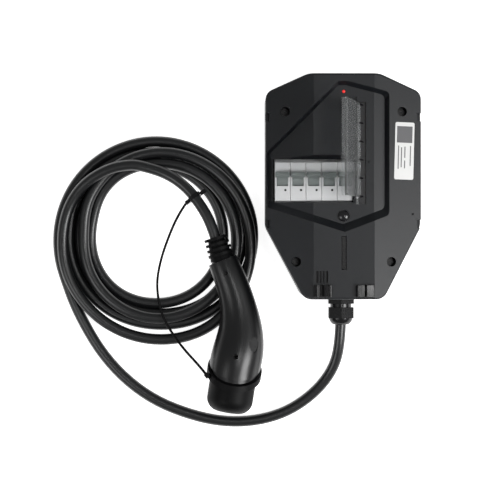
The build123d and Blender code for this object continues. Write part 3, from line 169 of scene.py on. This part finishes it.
tail_points = [
    (0.0, -146.0, 24.0),
    (0.0, -174.0, 24.0),
    (-6.0, -213.0, 12.5),
    (-31.0, -246.0, 6.9),
    (-70.0, -271.0, 6.9),
    (-119.5, -280.5, 6.9),
    (-170.0, -274.0, 6.9),
    (-228.5, -251.0, 6.9),
    (-277.5, -208.5, 6.9),
    (-312.5, -151.0, 6.9),
]
lead_points = [
    (-247.5, 27.4, 35.3),
    (-234.0, 25.5, 35.4),
    (-206.0, 17.0, 36.6),
    (-182.0, 0.5, 40.2),
    (-164.0, -23.0, 44.6),
    (-152.85, -43.68, 47.0),
    (-146.16, -65.15, 47.0),
]


def nurbs(name, points, radius):
    """Free cord: one NURBS spline along its route, drawn as a round tube whose points hold its radius."""
    data = bpy.data.curves.new(name, "CURVE")
    data.dimensions = "3D"
    spline = data.splines.new("NURBS")
    spline.points.add(len(points) - 1)
    for point, (x, y, z) in zip(spline.points, points):
        point.co = (x * MM, y * MM, z * MM, 1.0)
        point.radius = radius * MM
    spline.order_u = 3
    spline.use_endpoint_u = True
    spline.resolution_u = CURVE_STEPS
    data.bevel_depth = 1.0 if radius else 0.0
    data.bevel_resolution = TUBE_STEPS
    data.use_fill_caps = True
    obj = bpy.data.objects.new(name, data)
    bpy.context.scene.collection.objects.link(obj)
    return obj


cable = nurbs("charging_cable", tail_points + coil_points() + lead_points, CABLE_RADIUS)
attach(cable, "wallbox")
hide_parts("cable_tail", "cable_coil", "cable_lead")

# Tether from the tie to the dust cap, as a tube
tether_points = [
    (-183.2, -19.1, 42.4),
    (-192.6, -32.5, 38.5),
    (-204.0, -58.0, 31.0),
    (-214.0, -87.0, 29.0),
    (-218.6, -116.0, 29.5),
    (-212.8, -149.0, 31.4),
    (-200.0, -171.5, 32.0),
    (-185.2, -190.5, 40.0),
    (-167.5, -207.7, 57.6),
    (-158.6, -218.3, 62.1),
]


def mesh_of(obj, name):
    """A mesh copy of a curve object, which it takes the place of."""
    graph = bpy.context.evaluated_depsgraph_get()
    mesh = bpy.data.meshes.new_from_object(obj.evaluated_get(graph))
    made = bpy.data.objects.new(name, mesh)
    bpy.context.scene.collection.objects.link(made)
    bpy.data.objects.remove(obj)
    return made


tether_line = mesh_of(nurbs("tether_line", tether_points, 0.0), "tether_path")
bpy.data.objects.remove(tether_line)
tether = mesh_of(nurbs("tether_curve", tether_points, TETHER_RADIUS), "cap_tether_tube")
for polygon in tether.data.polygons:
    polygon.use_smooth = True
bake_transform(tether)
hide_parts("cap_tether")

# Button's return spring as a mesh of its own, in place of the CAD part
spring = bpy.data.objects.new("button_return_spring", nodes["button_spring"].data.copy())
bpy.context.scene.collection.objects.link(spring)
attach(spring, "wallbox")
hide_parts("button_spring")
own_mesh(spring)


# Materials
def material(name, colour, rough, metal=0.0, specular=0.5):
    """Material with one colour and one finish on the shader's own sockets."""
    made = bpy.data.materials.new(name)
    made.use_nodes = True
    shader = made.node_tree.nodes["Principled BSDF"]
    shader.inputs["Base Color"].default_value = (*colour, 1.0)
    shader.inputs["Roughness"].default_value = rough
    shader.inputs["Metallic"].default_value = metal
    shader.inputs["Specular IOR Level"].default_value = specular
    made.diffuse_color = (*colour, 1.0)
    return made


def grain(made, scale, height):
    """Fine moulded texture as a bump of that height."""
    tree = made.node_tree
    place = tree.nodes.new("ShaderNodeTexCoord")
    noise = tree.nodes.new("ShaderNodeTexNoise")
    noise.inputs["Scale"].default_value = scale
    noise.inputs["Detail"].default_value = 2.0
    bump = tree.nodes.new("ShaderNodeBump")
    bump.inputs["Strength"].default_value = 1.0
    bump.inputs["Distance"].default_value = height
    tree.links.new(place.outputs["Object"], noise.inputs["Vector"])
    tree.links.new(noise.outputs["Fac"], bump.inputs["Height"])
    tree.links.new(bump.outputs["Normal"], tree.nodes["Principled BSDF"].inputs["Normal"])
    return made


looks = {
    "housing_dark": grain(
        material("housing_dark", (0.0062, 0.0072, 0.0090), 0.42, specular=0.36), 2600, 0.00006
    ),
    "seal_rubber": material("seal_rubber", (0.004, 0.004, 0.004), 0.65, specular=0.3),
    "screw_steel": material("screw_steel", (0.42, 0.42, 0.43), 0.35, metal=1.0),
    # Screws: near-black and not metal. The dark colour is partly their own and partly painted shade, so
    # the screws read as the shaded holes of their wells
    "screw_black": material("screw_black", (0.008, 0.008, 0.009), 0.35, specular=0.35),
    "bracket_black": material("bracket_black", (0.005, 0.005, 0.006), 0.35, specular=0.35),
    "clip_gloss": material("clip_gloss", (0.0015, 0.0015, 0.002), 0.10, specular=0.4),
    "lens_dark": material("lens_dark", (0.0008, 0.0008, 0.001), 0.25, specular=0.15),
    "board_green": material("board_green", (0.01, 0.09, 0.03), 0.35),
    "button_black": material("button_black", (0.006, 0.006, 0.007), 0.20, specular=0.5),
    "spring_steel": material("spring_steel", (0.38, 0.38, 0.39), 0.30, metal=1.0),
    "rail_steel": material("rail_steel", (0.50, 0.50, 0.48), 0.38, metal=1.0),
    "module_grey": grain(
        material("module_grey", (0.55, 0.555, 0.56), 0.50, specular=0.3), 1800, 0.00003
    ),
    "toggle_grey": material("toggle_grey", (0.165, 0.185, 0.180), 0.38, specular=0.3),
    "gland_black": material("gland_black", (0.0025, 0.0025, 0.003), 0.22, specular=0.45),
    "cable_black": grain(
        material("cable_black", (0.0055, 0.0060, 0.0066), 0.32, specular=0.55), 900, 0.00003
    ),
    "connector_black": grain(
        material("connector_black", (0.0032, 0.0034, 0.0038), 0.29, specular=0.46), 2200, 0.00003
    ),
    "connector_face": material("connector_face", (0.006, 0.006, 0.0065), 0.32, specular=0.35),
    "contact_brass": material("contact_brass", (0.62, 0.55, 0.38), 0.30, metal=1.0),
    "cap_rubber": grain(
        material("cap_rubber", (0.0015, 0.0015, 0.0018), 0.50, specular=0.12), 1600, 0.00003
    ),
    "case_white": material("case_white", (0.58, 0.58, 0.56), 0.45),
    "case_black": material("case_black", (0.007, 0.007, 0.0075), 0.40, specular=0.3),
    "wire_black": material("wire_black", (0.008, 0.008, 0.0085), 0.40),
}

# Status light: red and lit
led = material("led_red", (0.65, 0.02, 0.02), 0.25)
led_shader = led.node_tree.nodes["Principled BSDF"]
led_shader.inputs["Emission Color"].default_value = (1.0, 0.05, 0.04, 1.0)
led_shader.inputs["Emission Strength"].default_value = 0.45
looks["led_red"] = led

# Clear plastic of the door
clear = material("door_clear", (0.93, 0.95, 0.95), 0.05, specular=0.42)
clear_shader = clear.node_tree.nodes["Principled BSDF"]
clear_shader.inputs["Transmission Weight"].default_value = 0.95
clear_shader.inputs["IOR"].default_value = 1.46
looks["door_clear"] = clear

# Label: white film on the cover's right slope, printed with a block and rows of lines.
# A printed piece is (left, low, right, high) in mm from the label's middle.
label = material("label_white", (0.72, 0.72, 0.71), 0.50)
looks["label_white"] = label
LABEL_MIDDLE = (70.0, 41.0, 78.0)
LABEL_TURN = radians(-1.5)
PRINT_LIFT = 0.36
SLOPE_DROP, SLOPE_WIDTH = 15.8, 55.0
FACET_SLOPE = SLOPE_DROP / SLOPE_WIDTH
facet_up = Vector((FACET_SLOPE, 0.0, 1.0)).normalized()
facet_across = Vector((1.0, 0.0, -FACET_SLOPE)).normalized()
label_across = facet_across * cos(LABEL_TURN) + Vector((0.0, 1.0, 0.0)) * sin(LABEL_TURN)
label_along = facet_up.cross(label_across)
printed = [
    (-9.6, 9.4, 9.4, 28.4),
    (-7.9, -21.0, -6.7, 6.0),
    (-4.2, -19.0, -3.0, 4.0),
    (0.0, -8.0, 1.2, 5.0),
    (0.0, -20.0, 1.2, -11.0),
    (6.8, -17.0, 8.0, 6.0),
]
print_corners, print_faces = [], []
for left, low, right, high in printed:
    first = len(print_corners)
    for across, along in ((left, low), (right, low), (right, high), (left, high)):
        place = Vector(LABEL_MIDDLE) + facet_up * PRINT_LIFT + label_across * across + label_along * along
        print_corners.append(place * MM)
    print_faces.append((first, first + 1, first + 2, first + 3))
print_mesh = bpy.data.meshes.new("label_print")
print_mesh.from_pydata(print_corners, [], print_faces)
label_print = bpy.data.objects.new("label_print", print_mesh)
bpy.context.scene.collection.objects.link(label_print)
print_mesh.materials.append(material("print_grey", (0.10, 0.10, 0.105), 0.5))
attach(label_print, "wallbox")

slots = {row["node"]: row["material_slot"] for row in frame["record"]["subparts"]}
for name, node in nodes.items():
    node.data.materials.clear()
    node.data.materials.append(looks[slots[name]])
cable.data.materials.append(looks["cable_black"])
tether.data.materials.append(looks["cap_rubber"])
spring.data.materials.clear()
spring.data.materials.append(looks["spring_steel"])

# Floor, light and world
FLOOR_REACH, FLOOR_GAP, FLOOR_GLOW = 4.0, 0.0002, 0.85
floor_mesh = bpy.data.meshes.new("floor")
floor_corners = [(x * FLOOR_REACH, y * FLOOR_REACH, 0.0) for x, y in ((-1, -1), (1, -1), (1, 1), (-1, 1))]
floor_mesh.from_pydata(floor_corners, [], [(0, 1, 2, 3)])
floor = bpy.data.objects.new("floor", floor_mesh)
floor.location.z = -FLOOR_GAP
bpy.context.scene.collection.objects.link(floor)
floor_white = material("floor_white", (0.90, 0.90, 0.90), 0.8, specular=0.2)
floor_tree = floor_white.node_tree
rays = floor_tree.nodes.new("ShaderNodeLightPath")
seen = rays.outputs["Is Camera Ray"]
for ray in ("Is Glossy Ray", "Is Transmission Ray"):
    either = floor_tree.nodes.new("ShaderNodeMath")
    either.operation = "MAXIMUM"
    floor_tree.links.new(seen, either.inputs[0])
    floor_tree.links.new(rays.outputs[ray], either.inputs[1])
    seen = either.outputs[0]
glow = floor_tree.nodes.new("ShaderNodeMath")
glow.operation = "MULTIPLY"
glow.inputs[1].default_value = FLOOR_GLOW
floor_tree.links.new(seen, glow.inputs[0])
floor_shader = floor_tree.nodes["Principled BSDF"]
floor_shader.inputs["Emission Color"].default_value = (1.0, 1.0, 1.0, 1.0)
floor_tree.links.new(glow.outputs[0], floor_shader.inputs["Emission Strength"])
floor_mesh.materials.append(floor_white)


def softbox(name, place, target, size, power):
    """Square area light that faces a place."""
    data = bpy.data.lights.new(name, "AREA")
    data.shape = "SQUARE"
    data.size = size
    data.energy = power
    light = bpy.data.objects.new(name, data)
    light.location = place
    light.rotation_mode = "QUATERNION"
    light.rotation_quaternion = (Vector(target) - Vector(place)).to_track_quat("-Z", "Y")
    bpy.context.scene.collection.objects.link(light)


softbox("key", (1.35, -0.55, 1.6), (0.0, -0.05, 0.0), 1.0, 38.0)
softbox("fill", (-1.3, -0.8, 1.5), (-0.1, -0.05, 0.0), 0.9, 9.0)
softbox("top", (0.35, -0.05, 2.3), (-0.1, -0.05, 0.0), 0.3, 5.0)
world = bpy.data.worlds.new("world")
bpy.context.scene.world = world
world.use_nodes = True
background = world.node_tree.nodes["Background"]
background.inputs["Color"].default_value = (1.0, 1.0, 1.0, 1.0)
background.inputs["Strength"].default_value = 0.28
bpy.context.scene.view_settings.view_transform = "Standard"
